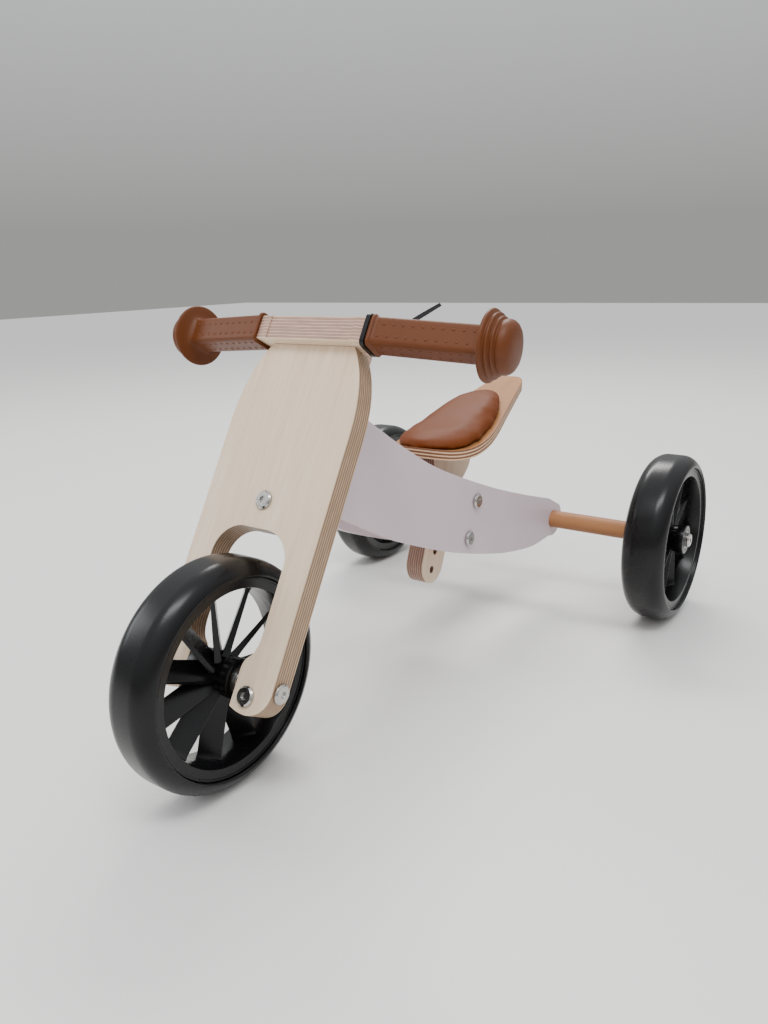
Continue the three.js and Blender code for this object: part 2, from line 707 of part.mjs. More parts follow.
// A wood block on each side of the post, cut to the splay of the panel outside it.
function seatBlock(side) {
  const inner = postThickness / 2 + clearance;
  const low = [side > 0 ? inner : -panelRearHalf, -blockHalf, -blockReach];
  const high = [side > 0 ? panelRearHalf : -inner, blockHalf, boltsApart * seatPitch + blockReach];
  const holes = seatBoltPlaces().map(([y, z]) =>
    bar(axleRadius + clearance, 2 * panelRearHalf, at(-panelRearHalf, y, z, alongX()), 12));
  return cut(block(low, high, seatPostPlace).intersect(betweenPanels()), ...holes);
}

// Outer face of a panel at a place along the frame.
const panelOuterAt = (y) => panelRearHalf + (y - rearAxleY) * Math.tan(splay);

// The heads sit on the splayed faces, clear of their high side.
const headLift = headRadius * Math.tan(splay) + clearance;
const seatSleeve = panelThickness - 1;

function seatBolt([y, z]) {
  const face = panelOuterAt(y) + headLift;
  return bolt(axleRadius, 2 * face - 3, at(face, y, z, alongX()));
}

function seatNut([y, z]) {
  return sleeveNut(seatSleeve, at(-panelOuterAt(y) - headLift, y, z, alongX(-1)));
}

// ---- Seat ----

// The seat's underside in the side view, from nose to tail, raised by lift.
function seatLine(lift) {
  const points = [[-62, 12], [-37, 5.5], [-15, 0.6], [7, 0], [31, 2.5], [53, 7], [85, 17.5], [124, 30],
    [167, 43], [199, 52.5], [250, 67.6]];
  const knots = points.map(([y, z]) => new THREE.Vector2(seatBoltY + y, seatBase + z + lift));
  return new THREE.SplineCurve(knots);
}

// Height of the seat's underside at a place along the frame.
function seatHeightAt(y) {
  const points = seatLine(0).getPoints(60);
  const next = Math.max(1, points.findIndex((point) => point.x > y));
  const [before, after] = [points[next - 1], points[next]];
  return before.y + (after.y - before.y) * (y - before.x) / (after.x - before.x);
}

// A sheet across the whole width that follows the seat's underside, from lift to lift + thickness.
function seatSheet(lift, thickness) {
  const bottom = seatLine(lift).getPoints(20);
  const top = bottom.map((point) => new THREE.Vector2(point.x, point.y + thickness)).reverse();
  return plate(new THREE.Shape([...bottom, ...top]), -2 * seatHalf, 2 * seatHalf, sideways);
}

const widest = seatBoltY + 27;

// The seat's outline from above.
function seatShape() {
  const nose = new THREE.EllipseCurve(0, widest, seatHalf, seatNose, Math.PI, 2 * Math.PI, false, 0);
  const shape = new THREE.Shape(nose.getPoints(28));
  const end = widest + seatLength;
  shape.bezierCurveTo(seatHalf, widest + 26, seatHalf - 3, widest + 44, seatHalf - 6, widest + 58);
  shape.lineTo(tailHalf + 1.5, end - 19);
  shape.bezierCurveTo(tailHalf - 0.5, end - 7, tailHalf - 8, end, tailHalf - 15, end);
  shape.lineTo(15 - tailHalf, end);
  shape.bezierCurveTo(8 - tailHalf, end, 0.5 - tailHalf, end - 7, -tailHalf - 1.5, end - 19);
  shape.lineTo(6 - seatHalf, widest + 58);
  shape.bezierCurveTo(3 - seatHalf, widest + 44, -seatHalf, widest + 26, -seatHalf, widest);
  return shape;
}

// The pad's outline from above: a round nose, and a rear that narrows to a rounded point.
function padShape() {
  const half = seatHalf - padInset;
  const nose = new THREE.EllipseCurve(0, widest, half, seatNose - padInset, Math.PI, 2 * Math.PI, false, 0);
  const shape = new THREE.Shape(nose.getPoints(14));
  const narrowing = [
    [0.985, 0.18], [0.947, 0.355], [0.83, 0.56], [0.653, 0.735], [0.43, 0.876], [0.21, 0.967],
  ];
  const left = narrowing.map(([x, y]) => new THREE.Vector2(half * x, widest + padLength * y));
  const right = left.map((point) => new THREE.Vector2(-point.x, point.y)).reverse();
  const rear = new THREE.Vector2(0, widest + padLength);
  shape.splineThru([...left, rear, ...right, new THREE.Vector2(-half, widest)]);
  return shape;
}

// The pad's section from its edge to its middle: [share of the outline, share of the thickness].
const padSection = [
  [1, 0], [1, 0.2], [0.985, 0.42], [0.95, 0.6], [0.88, 0.75], [0.76, 0.87], [0.58, 0.95], [0.32, 0.99],
];

// The pad is a cushion over its outline, bent along the seat and cut off at the top of the board.
function seatPad() {
  const outline = padShape().getSpacedPoints(44).slice(0, -1);
  const middle = new THREE.Vector2(0, widest + 20);
  const points = [];
  const addRing = (share, height) => outline.forEach((point) => {
    const x = middle.x + (point.x - middle.x) * share;
    const y = middle.y + (point.y - middle.y) * share;
    points.push(x, y, seatHeightAt(y) + seatThickness + height);
  });
  for (const share of [0.25, 0.5, 0.75, 1]) {
    addRing(share, -padSink);
  }
  for (const [share, height] of padSection) {
    addRing(share, height * padThickness);
  }
  const cushion = solidOf(closedRings(points, outline.length, middle));
  return cushion.intersect(seatSheet(seatThickness + clearance, 3 * padThickness));
}

// Joins rings of points, one after the other, and closes the first and the last on a middle point.
function closedRings(points, count, middle) {
  const rings = points.length / 3 / count;
  const bottom = points.length / 3;
  const base = seatHeightAt(middle.y) + seatThickness;
  const ends = [middle.x, middle.y, base - padSink, middle.x, middle.y, base + padThickness];
  const all = [...points, ...ends];
  const index = [];
  for (let i = 0; i < count; i += 1) {
    const next = (i + 1) % count;
    index.push(bottom, next, i);
    index.push(bottom + 1, (rings - 1) * count + i, (rings - 1) * count + next);
    for (let row = 0; row < rings - 1; row += 1) {
      const [a, b] = [row * count + i, row * count + next];
      index.push(a, b, b + count, a, b + count, a + count);
    }
  }
  const geometry = new THREE.BufferGeometry();
  geometry.setAttribute('position', new THREE.Float32BufferAttribute(all, 3));
  geometry.setIndex(index);
  return geometry;
}

// Wood screws from under the pad into the post, each placed by its lower end.
function seatScrewPlaces() {
  return [-postTopHalf * 0.4, postTopHalf * 0.8].map((offset) => {
    const y = seatBoltY + postTopHalf + offset;
    return move(0, y, seatHeightAt(y) + seatThickness - screwLength);
  });
}

function seatBoard() {
  const board = plate(seatShape(), 0, 2 * seatBase, undefined, 8).intersect(seatSheet(0, seatThickness));
  const holes = seatScrewPlaces().flatMap((place) => [
    bar(screwRadius + clearance, 2 * screwLength, place, 12),
    bar(screwHeadRadius + clearance, screwLength, place.clone().multiply(move(0, 0, screwLength - 5)), 16)]);
  return cut(board, ...holes);
}

function seatScrew(place) {
  const head = screwLength - 4.6;
  return turned([[0, 1], [screwRadius, 1], [screwRadius, head], [screwHeadRadius, head],
    [screwHeadRadius, head + 2], [0, head + 2]], place, 14);
}

// ---- Rear axle ----

const axleBoltDepth = 40;

function rearDowel() {
  const socketRoom = axleBoltDepth + 4;
  const ends = [1, -1].map((side) =>
    bar(axleRadius + clearance, socketRoom + 1,
      at(side * (dowelHalf + 1), rearAxleY, wheelRadius, alongX(-side)), 12));
  const rod = bar(dowelRadius, 2 * dowelHalf, at(-dowelHalf, rearAxleY, wheelRadius, alongX()), 20);
  return cut(rod, ...ends);
}

function rearAxleBolt(side) {
  const face = rearTrack / 2 + hubHalf + washerThickness + 2 * clearance;
  return bolt(axleRadius, face - dowelHalf + axleBoltDepth,
    at(side * face, rearAxleY, wheelRadius, alongX(side)));
}

function rearWasher(side, inside) {
  const start = inside ? dowelHalf + clearance : rearTrack / 2 + hubHalf + clearance;
  return washer(at(side * start, rearAxleY, wheelRadius, alongX(side)));
}

// ---- Front axle ----

function frontAxleBolt() {
  const face = forkHalf + clearance;
  return bolt(axleRadius, 2 * face - 3, at(face, 0, 0, alongX()));
}

function frontAxleNut() {
  return sleeveNut(axleSleeveLength - 1, at(-forkHalf - clearance, 0, 0, alongX(-1)));
}

function frontSpacer(side) {
  return washer(at(side * (hubHalf + clearance), 0, 0, alongX(side)), 7.5, footReach - 2 * clearance);
}

// ---- Assembly ----

const sides = [[1, 'left'], [-1, 'right']];

function buildFrame() {
  const frame = new THREE.Group();
  for (const [side, name] of sides) {
    frame.add(piece(`side_panel_${name}`, sidePanel(side), paint));
    frame.add(piece(`seat_block_${name}`, seatBlock(side), beech));
    frame.add(piece(`rear_axle_bolt_${name}`, rearAxleBolt(side), nickel));
    frame.add(piece(`rear_washer_outer_${name}`, rearWasher(side, false), nickel));
    frame.add(piece(`rear_washer_inner_${name}`, rearWasher(side, true), nickel));
  }
  frame.add(piece('rear_axle_dowel', rearDowel(), beech));
  frame.add(piece('seat_post', seatPost(), birch));
  frame.add(piece('seat_board', seatBoard(), birch));
  frame.add(piece('seat_pad', seatPad(), leather));
  ['lower', 'upper'].forEach((name, i) => {
    frame.add(piece(`seat_bolt_${name}`, seatBolt(seatBoltPlaces()[i]), nickel));
    frame.add(piece(`seat_nut_${name}`, seatNut(seatBoltPlaces()[i]), nickel));
  });
  ['front', 'rear'].forEach((name, i) => {
    frame.add(piece(`seat_screw_${name}`, seatScrew(seatScrewPlaces()[i]), nickel));
  });
  return frame;
}

function buildHead() {
  const head = new THREE.Group();
  head.applyMatrix4(steerPlace);
  head.add(piece('steering_post', steeringPost(), beech));
  head.add(piece('head_bush_upper', headBush(1), nylon));
  head.add(piece('head_bush_lower', headBush(-1), nylon));
  return head;
}

function buildSteering() {
  const steering = new THREE.Group();
  steering.applyMatrix4(steerPlace);
  steering.add(piece('fork_board', forkBoard(), birch));
  steering.add(piece('handlebar', handlebar(), birch));
  steering.add(piece('cable_tie', cableTie(), plastic));
  steering.add(piece('steering_bracket', steeringBracket(), birch));
  steering.add(piece('bracket_bolt', bracketBolt(), nickel));
  steering.add(piece('bracket_insert', bracketInsert(), nickel));
  steering.add(piece('steering_bolt', steeringBolt(), nickel));
  steering.add(piece('steering_nut', hexNut(7, 15, steeringRadius + clearance,
    move(0, pivotSetback, bracketBottom - clearance - 7)), nickel));
  const washerAt = (height, outer) =>
    washer(move(0, pivotSetback, height + clearance), outer, steeringRadius);
  steering.add(piece('steering_washer_top', washerAt(barTop, washerRadius), nickel));
  steering.add(piece('thrust_washer_upper', washerAt(postTop, thrustRadius), nylon));
  steering.add(piece('thrust_washer_lower', washerAt(bracketTop, thrustRadius), nylon));
  steering.add(piece('front_axle_bolt', frontAxleBolt(), nickel));
  steering.add(piece('front_axle_nut', frontAxleNut(), nickel));
  for (const [side, name] of sides) {
    steering.add(piece(`grip_${name}`, grip(side, side > 0 ? collarLength : 0), gripSkin));
    steering.add(piece(`foot_screw_${name}`, footScrew(side), nickel));
    steering.add(piece(`foot_nut_${name}`, footNut(side), nickel));
    steering.add(piece(`front_spacer_${name}`, frontSpacer(side), nickel));
  }
  return steering;
}

function buildTricycle() {
  const tricycle = new THREE.Group();
  const rolling = new THREE.Group();
  rolling.position.y = -wheelbase / 2;
  tricycle.add(rolling);
  rolling.add(buildFrame(), buildHead(), buildSteering());
  const places = [
    ['front', 0, 0],
    ['rear_left', rearTrack / 2, rearAxleY],
    ['rear_right', -rearTrack / 2, rearAxleY],
  ];
  for (const [name, x, y] of places) {
    const made = wheel(`${name}_wheel`);
    made.position.set(x, y, wheelRadius);
    rolling.add(made);
  }
  return tricycle;
}

export default buildTricycle();
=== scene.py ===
"""A child's wooden tricycle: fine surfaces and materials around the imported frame.

Metres, +Z up. The front faces -Y and the rider's left is +X.
"""
import math

import bmesh
import bpy
from mathutils import Matrix, Vector


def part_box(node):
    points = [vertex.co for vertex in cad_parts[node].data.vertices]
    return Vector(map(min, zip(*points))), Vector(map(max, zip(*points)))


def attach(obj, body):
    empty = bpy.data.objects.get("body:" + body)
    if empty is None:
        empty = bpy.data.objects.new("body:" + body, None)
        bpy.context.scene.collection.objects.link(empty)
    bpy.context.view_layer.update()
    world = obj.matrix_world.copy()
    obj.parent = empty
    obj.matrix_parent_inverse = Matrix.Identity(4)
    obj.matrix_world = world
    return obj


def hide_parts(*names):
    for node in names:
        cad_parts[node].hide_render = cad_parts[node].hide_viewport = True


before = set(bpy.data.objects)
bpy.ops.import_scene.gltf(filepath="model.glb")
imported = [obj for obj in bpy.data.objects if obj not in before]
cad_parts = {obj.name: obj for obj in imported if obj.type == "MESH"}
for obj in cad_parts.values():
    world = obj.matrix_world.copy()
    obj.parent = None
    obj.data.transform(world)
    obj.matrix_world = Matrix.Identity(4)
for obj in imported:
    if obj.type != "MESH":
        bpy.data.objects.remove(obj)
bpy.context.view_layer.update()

MM = 0.001

# The first part of each wheel's node names, and its body.
WHEELS = {
    "front_wheel": "front_wheel",
    "rear_left_wheel": "rear_wheel_left",
    "rear_right_wheel": "rear_wheel_right",
}

# ---- The steering's own frame: X to the rider's left, Y back, Z up along the fork, from the front axle ----

RAKE = math.radians(31.1)
tyre_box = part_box("front_wheel_tyre")
front_axle = (tyre_box[0] + tyre_box[1]) / 2
steering_place = Matrix.Translation(front_axle) @ Matrix.Rotation(-RAKE, 4, "X")


# ---- Camera, floor and light ----

def make_camera():
    data = bpy.data.cameras.new("camera")
    camera = bpy.data.objects.new("camera", data)
    bpy.context.scene.collection.objects.link(camera)
    camera.location = (0.4616, -0.6745, 0.4151)
    camera.rotation_euler = [math.radians(angle) for angle in (73.18, 1.52, 34.87)]
    data.lens = 28.29
    data.sensor_width = 36
    bpy.context.scene.camera = camera


def add_light(name, place, target, size, power, colour=(1, 1, 1)):
    data = bpy.data.lights.new(name, "AREA")
    data.shape = "RECTANGLE"
    data.size, data.size_y = size
    data.energy = power
    data.color = colour
    light = bpy.data.objects.new(name, data)
    bpy.context.scene.collection.objects.link(light)
    light.location = place
    light.rotation_euler = (Vector(target) - Vector(place)).to_track_quat("-Z", "Y").to_euler()


def make_studio():
    far = 8
    corners = [(-far, -far, 0), (far, -far, 0), (far, far, 0), (-far, far, 0)]
    mesh = bpy.data.meshes.new("floor")
    mesh.from_pydata(corners, [], [(0, 1, 2, 3)])
    floor = bpy.data.objects.new("floor", mesh)
    bpy.context.scene.collection.objects.link(floor)
    floor.data.materials.append(plain_material("floor", (0.78, 0.77, 0.75), 0.45))
    make_sky()
    add_light("ceiling_rear", (-0.9, 1.6, 2.2), (0, 0, 0.1), (1.4, 0.5), 46, (1.0, 0.98, 0.95))
    add_light("ceiling_front", (0.6, -0.9, 2.4), (0, 0, 0.1), (1.6, 0.5), 38, (0.98, 0.99, 1.0))
    add_light("side", (-2.0, -1.0, 1.2), (0, 0, 0.2), (0.9, 0.9), 12, (0.92, 0.96, 1.0))


def make_sky():
    """A soft grey room, darker at the horizon than overhead."""
    world = bpy.data.worlds.new("studio")
    world.use_nodes = True
    tree = world.node_tree
    place = tree.nodes.new("ShaderNodeTexCoord")
    split = tree.nodes.new("ShaderNodeSeparateXYZ")
    ramp = tree.nodes.new("ShaderNodeValToRGB")
    tree.links.new(place.outputs["Generated"], split.inputs[0])
    tree.links.new(split.outputs["Z"], ramp.inputs["Fac"])
    tree.links.new(ramp.outputs["Color"], tree.nodes["Background"].inputs["Color"])
    ramp.color_ramp.elements[0].position = 0.05
    ramp.color_ramp.elements[0].color = (0.36, 0.36, 0.35, 1)
    ramp.color_ramp.elements[1].position = 0.75
    ramp.color_ramp.elements[1].color = (1.25, 1.27, 1.3, 1)
    tree.nodes["Background"].inputs["Strength"].default_value = 1.0
    bpy.context.scene.world = world


# ---- Materials ----

class Nodes:
    """A material's node tree with short ways to add and link nodes."""

    def __init__(self, name):
        self.material = bpy.data.materials.new(name)
        self.material.use_nodes = True
        self.tree = self.material.node_tree
        self.shader = self.tree.nodes["Principled BSDF"]

    def add(self, kind, **settings):
        node = self.tree.nodes.new(kind)
        for key, value in settings.items():
            setattr(node, key, value)
        return node

    def link(self, source, target):
        self.tree.links.new(source, target)

    def feed(self, socket, value):
        if isinstance(value, bpy.types.NodeSocket):
            self.link(value, socket)
        else:
            socket.default_value = value

    def math(self, operation, a, b=0.0):
        node = self.add("ShaderNodeMath", operation=operation)
        self.feed(node.inputs[0], a)
        self.feed(node.inputs[1], b)
        return node.outputs[0]

    def scaled(self, value, factor, offset):
        """value * factor + offset"""
        result = self.math("MULTIPLY_ADD", value, factor)
        result.node.inputs[2].default_value = offset
        return result

    def split(self, vector):
        """The three sockets of a vector's X, Y and Z."""
        node = self.add("ShaderNodeSeparateXYZ")
        self.link(vector, node.inputs[0])
        return node.outputs

    def coordinates(self, place=Matrix.Identity(4), scale=(1, 1, 1)):
        """Object coordinates seen from a placed frame, each divided by scale."""
        texture = self.add("ShaderNodeTexCoord")
        mapping = self.add("ShaderNodeMapping", vector_type="TEXTURE")
        mapping.inputs["Location"].default_value = place.to_translation()
        mapping.inputs["Rotation"].default_value = place.to_euler()
        mapping.inputs["Scale"].default_value = scale
        self.link(texture.outputs["Object"], mapping.inputs["Vector"])
        return mapping.outputs["Vector"]

    def stretched(self, place, along, short, long):
        """Coordinates for a figure that is short across a placed frame and long along one axis."""
        scale = [short] * 3
        scale[along] = long
        return self.coordinates(place, scale)

    def facing(self, axis, limit, place=Matrix.Identity(4)):
        """1 where the surface looks along one axis of a placed frame, either way, and 0 elsewhere."""
        turned = self.add("ShaderNodeMapping", vector_type="TEXTURE")
        turned.inputs["Rotation"].default_value = place.to_euler()
        self.link(self.add("ShaderNodeTexCoord").outputs["Normal"], turned.inputs["Vector"])
        share = self.math("ABSOLUTE", self.split(turned.outputs["Vector"])[axis])
        return self.math("GREATER_THAN", share, limit)

    def noise(self, vector, scale, detail, roughness=0.5, distortion=0.0):
        node = self.add("ShaderNodeTexNoise")
        self.link(vector, node.inputs["Vector"])
        node.inputs["Scale"].default_value = scale
        node.inputs["Detail"].default_value = detail
        node.inputs["Roughness"].default_value = roughness
        node.inputs["Distortion"].default_value = distortion
        return node.outputs["Fac"]

    def ramp(self, factor, stops):
        """A colour ramp; each stop is (position, colour), where a single number is a grey."""
        node = self.add("ShaderNodeValToRGB")
        elements = node.color_ramp.elements
        while len(elements) < len(stops):
            elements.new(0.5)
        for element, (position, colour) in zip(elements, stops):
            element.position = position
            is_colour = hasattr(colour, "__len__")
            element.color = (*colour, 1) if is_colour else (colour, colour, colour, 1)
        self.feed(node.inputs["Fac"], factor)
        return node.outputs["Color"]

    def mix(self, factor, a, b, blend="MIX"):
        node = self.add("ShaderNodeMix", data_type="RGBA", blend_type=blend)
        self.feed(node.inputs["Factor"], factor)
        self.feed(node.inputs["A"], a if isinstance(a, bpy.types.NodeSocket) else (*a, 1))
        self.feed(node.inputs["B"], b if isinstance(b, bpy.types.NodeSocket) else (*b, 1))
        return node.outputs["Result"]

    def bump(self, height, distance, strength):
        node = self.add("ShaderNodeBump")
        node.inputs["Distance"].default_value = distance
        node.inputs["Strength"].default_value = strength
        self.link(height, node.inputs["Height"])
        self.link(node.outputs["Normal"], self.shader.inputs["Normal"])

    def set(self, **values):
        for key, value in values.items():
            self.feed(self.shader.inputs[key.replace("_", " ")], value)


def plain_material(name, colour, roughness):
    nodes = Nodes(name)
    nodes.set(Base_Color=(*colour, 1), Roughness=roughness)
    return nodes.material


# Each face is a light and a dark colour; each edge is a light ply, a dark ply and the glue.
BIRCH_FACE = ((0.83, 0.665, 0.50), (0.74, 0.55, 0.385))
BIRCH_EDGE = ((0.56, 0.39, 0.25), (0.30, 0.18, 0.105), (0.10, 0.05, 0.028))
BAR_EDGE = ((0.62, 0.42, 0.32), (0.45, 0.27, 0.205), (0.15, 0.07, 0.05))
# The seat post's plies: the handlebar's ply colours darkened as painted shade under the seat.
SHADED_POST_EDGE = ((0.42, 0.265, 0.20), (0.25, 0.14, 0.10), (0.08, 0.035, 0.025))
SEAT_FACE = ((0.38, 0.175, 0.066), (0.33, 0.14, 0.05))
SEAT_EDGE = ((0.76, 0.52, 0.34), (0.22, 0.10, 0.055), (0.10, 0.04, 0.02))
BEECH = ((0.40, 0.18, 0.075), (0.30, 0.125, 0.048))
BEECH_FLECK = (0.30, 0.145, 0.07)
PAINT = ((0.615, 0.51, 0.56), (0.65, 0.54, 0.59))
PAINT_EDGE = ((0.60, 0.50, 0.50), (0.50, 0.40, 0.40), (0.40, 0.30, 0.30))


def grain(nodes, place, along, light, dark, contrast=1.0):
    """Fine wood figure along one axis of a placed frame: broad soft bands and fine pores."""
    bands = nodes.noise(nodes.stretched(place, along, 0.012, 0.22), 1.0, 4, 0.55, 0.3)
    pores = nodes.noise(nodes.stretched(place, along, 0.0012, 0.03), 1.0, 2)
    figure = nodes.ramp(bands, [(0.5 - 0.2 / contrast, dark), (0.5 + 0.16 / contrast, light)])
    shade = nodes.ramp(pores, [(0.35, 0.93), (0.6, 1.0)])
    return nodes.mix(1.0, figure, shade, "MULTIPLY"), pores


def plies(nodes, depth, count, light, dark, glue):
    """Colours of a plywood edge across its depth, 0 to 1: light and dark plies in turn, with glue lines."""
    step = nodes.math("MULTIPLY", depth, count)
    even = nodes.math("MODULO", nodes.math("FLOOR", step), 2.0)
    within = nodes.math("FRACT", step)
    edge = nodes.math("MINIMUM", within, nodes.math("SUBTRACT", 1.0, within))
    ply = nodes.mix(even, light, dark)
    line = nodes.ramp(edge, [(0.0, 1.0), (0.06, 0.8), (0.14, 0.0)])
    return nodes.mix(line, ply, glue)


def board_material(name, place, axis, thickness, start, count, along, edge):
    """Birch plywood: a veneer on the two faces and count plies on the edges.

    axis is the one through the board, start is where its thickness starts there, and along is the grain's.
    """
    nodes = Nodes(name)
    through = nodes.split(nodes.coordinates(place))[axis]
    depth = nodes.math("DIVIDE", nodes.math("SUBTRACT", through, start), thickness)
    veneer, pores = grain(nodes, place, along, *BIRCH_FACE)
    streak = nodes.noise(nodes.stretched(place, along, 0.0016, 0.02), 1.0, 3, 0.6)
    side = plies(nodes, depth, count, *edge)
    side = nodes.mix(1.0, side, nodes.ramp(streak, [(0.3, 0.74), (0.68, 1.08)]), "MULTIPLY")
    middle = nodes.math("ABSOLUTE", nodes.math("SUBTRACT", depth, 0.5))
    outer_ply = nodes.math("GREATER_THAN", middle, 0.5 - 0.5 / count)
    flat = nodes.facing(axis, 0.8, place)
    worn_edge = nodes.math("MULTIPLY", outer_ply, 0.55)
    shown = nodes.math("MAXIMUM", nodes.math("MULTIPLY", flat, outer_ply), worn_edge)
    nodes.set(Base_Color=nodes.mix(shown, side, veneer), Roughness=0.46, Specular_IOR_Level=0.3)
    nodes.bump(nodes.mix(flat, as_grey(nodes, streak), as_grey(nodes, pores)), 0.0002, 0.35)
    return nodes.material


def as_grey(nodes, value):
    return nodes.ramp(value, [(0.0, 0.0), (1.0, 1.0)])


def beech_material(name, place, along):
    nodes = Nodes(name)
    colour, pores = grain(nodes, place, along, *BEECH, contrast=1.2)
    flecks = nodes.noise(nodes.stretched(place, along, 0.0011, 0.006), 1.0, 2)
    colour = nodes.mix(nodes.ramp(flecks, [(0.60, 0.0), (0.68, 0.75)]), colour, BEECH_FLECK)
    nodes.set(Base_Color=colour, Roughness=0.5, Specular_IOR_Level=0.25)
    nodes.bump(pores, 0.0002, 0.4)
    return nodes.material


# The side panels, which are splayed apart towards the rear.
PANEL_REAR_HALF = 0.064
PANEL_HEAD_HALF = 0.0336
PANEL_THICKNESS = 0.012
PANEL_END_RADIUS = 0.0225
PANEL_LENGTH = 0.3996


def panel_place(side, sign):
    """A frame on the panel's outer face, in line with the rear axle."""
    rear_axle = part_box(f"side_panel_{side}")[1].y - PANEL_END_RADIUS
    splay = math.atan2(PANEL_REAR_HALF - PANEL_HEAD_HALF, PANEL_LENGTH)
    corner = Matrix.Translation((sign * PANEL_REAR_HALF, rear_axle, 0))
    return corner @ Matrix.Rotation(-sign * splay, 4, "Z")


def paint_material(side):
    """Pale satin lacquer over plywood, with the plies faintly seen on the edges."""
    nodes = Nodes(f"pink_paint_{side}")
    vector = nodes.coordinates()
    face = nodes.mix(nodes.noise(vector, 14, 2), *PAINT)
    sign = 1 if side == "left" else -1
    through = nodes.split(nodes.coordinates(panel_place(side, sign)))[0]
    depth = nodes.math("DIVIDE", nodes.math("MULTIPLY", through, -sign), PANEL_THICKNESS)
    edge = plies(nodes, depth, 7, *PAINT_EDGE)
    colour = nodes.mix(nodes.facing(0, 0.7), edge, face)
    nodes.set(Base_Color=colour, Roughness=0.46, Coat_Weight=0.1, Coat_Roughness=0.3)
    nodes.bump(nodes.noise(vector, 900, 2), 0.00005, 0.3)
    return nodes.material


def leather_material():
    nodes = Nodes("seat_cover")
    vector = nodes.coordinates()
    cells = nodes.add("ShaderNodeTexVoronoi", feature="DISTANCE_TO_EDGE")
    cells.inputs["Scale"].default_value = 850
    nodes.link(vector, cells.inputs["Vector"])
    creases = nodes.ramp(cells.outputs["Distance"], [(0.0, 0.0), (0.18, 1.0)])
    cloud = nodes.noise(vector, 22, 3)
    colour = nodes.mix(cloud, (0.125, 0.028, 0.0035), (0.15, 0.036, 0.005))
    # Darkens the crease lines of the grain a little: painted shade in the creases.
    colour = nodes.mix(0.12, colour, nodes.mix(1.0, colour, creases, "MULTIPLY"))
    nodes.set(Base_Color=colour, Roughness=nodes.scaled(cloud, 0.1, 0.42), Specular_IOR_Level=0.12)
    nodes.bump(creases, 0.00012, 0.35)
    return nodes.material


def moulded_material(name, light, dark, roughness, spread, grain_scale, depth):
    """Moulded rubber or plastic: a slightly uneven colour and sheen over a fine matt grain."""
    nodes = Nodes(name)
    vector = nodes.coordinates()
    cloud = nodes.noise(vector, 35, 3)
    rough = nodes.scaled(cloud, spread, roughness)
    nodes.set(Base_Color=nodes.mix(cloud, dark, light), Roughness=rough, Specular_IOR_Level=0.3)
    nodes.bump(nodes.noise(vector, grain_scale, 2), depth, 0.4)
    return nodes.material


def metal_material(name, colour, roughness):
    nodes = Nodes(name)
    vector = nodes.coordinates()
    cloud = nodes.noise(vector, 420, 3)
    wear = nodes.noise(vector, 90, 2)
    rough = nodes.scaled(cloud, 0.18, roughness)
    dull = tuple(0.8 * part for part in colour)
    nodes.set(Base_Color=nodes.mix(wear, dull, colour), Roughness=rough, Metallic=1.0)
    nodes.bump(cloud, 0.00003, 0.5)
    return nodes.material


MATERIALS = {
    "tyre": moulded_material(
        "tyre_rubber", (0.0035, 0.0036, 0.0042), (0.0025, 0.0026, 0.003), 0.22, 0.1, 1400, 0.00004),
    "wheel": moulded_material(
        "wheel_plastic", (0.003, 0.003, 0.0035), (0.002, 0.002, 0.0025), 0.22, 0.1, 1800, 0.00003),
    "grip": moulded_material(
        "grip_rubber", (0.130, 0.034, 0.0048), (0.102, 0.025, 0.0035), 0.42, 0.14, 1600, 0.00004),
    "nylon": moulded_material(
        "nylon", (0.78, 0.76, 0.70), (0.72, 0.70, 0.64), 0.4, 0.1, 1200, 0.00003),
    "tie": moulded_material(
        "tie_plastic", (0.010, 0.010, 0.012), (0.007, 0.007, 0.008), 0.18, 0.1, 900, 0.00003),
    "leather": leather_material(),
    "nickel": metal_material("nickel_steel", (0.50, 0.485, 0.46), 0.14),
    "bearing": metal_material("bearing_steel", (0.46, 0.46, 0.47), 0.28),
}


# ---- Mesh helpers ----

def new_object(name, build):
    """A smooth-shaded mesh object that build(bm) fills."""
    mesh = bpy.data.meshes.new(name)
    bm = bmesh.new()
    build(bm)
    bmesh.ops.recalc_face_normals(bm, faces=bm.faces)
    bm.to_mesh(mesh)
    bm.free()
    mesh.shade_smooth()
    made = bpy.data.objects.new(name, mesh)
    bpy.context.scene.collection.objects.link(made)
    return made


def add_rings(bm, rings, closed=True):
    """Faces between rings of points; an end ring of one point closes the surface. Returns their points."""
    rows = [[bm.verts.new(point) for point in ring] for ring in rings]
    pairs = list(zip(rows, rows[1:])) + ([(rows[-1], rows[0])] if closed else [])
    for low, high in pairs:
        count = max(len(low), len(high))
        for i in range(count):
            j = (i + 1) % count
            corners = [low[i % len(low)], low[j % len(low)], high[j % len(high)], high[i % len(high)]]
            unique = list(dict.fromkeys(corners))
            if len(unique) > 2:
                bm.faces.new(unique)
    return rows


def circle(radius, segments, shift=0.0):
    """Points round a circle, the first one turned on by a share of a step."""
    angles = [2 * math.pi * (i + shift) / segments for i in range(segments)]
    return [(radius * math.cos(angle), radius * math.sin(angle)) for angle in angles]


def lathe(bm, profile, place, segments):
    """Turns a closed outline of (radius, distance) points about the placed X axis."""
    add_rings(bm, [
        [place @ Vector((distance, y, z)) for y, z in circle(radius, segments)]
        for radius, distance in profile
    ])


def rounded(outline, radius, steps=2):
    """A closed outline with each corner replaced by a short curve."""
    points = [Vector(point) for point in outline]
    result = []
    for i, corner in enumerate(points):
        before = points[i - 1] - corner
        after = points[(i + 1) % len(points)] - corner
        reach = min(radius, before.length * 0.45, after.length * 0.45)
        start = corner + before.normalized() * reach
        end = corner + after.normalized() * reach
        for step in range(steps + 1):
            t = step / steps
            result.append(start * (1 - t) ** 2 + corner * 2 * t * (1 - t) + end * t ** 2)
    return result


# Points closer than this are one point.
SAME_POINT = 0.00002


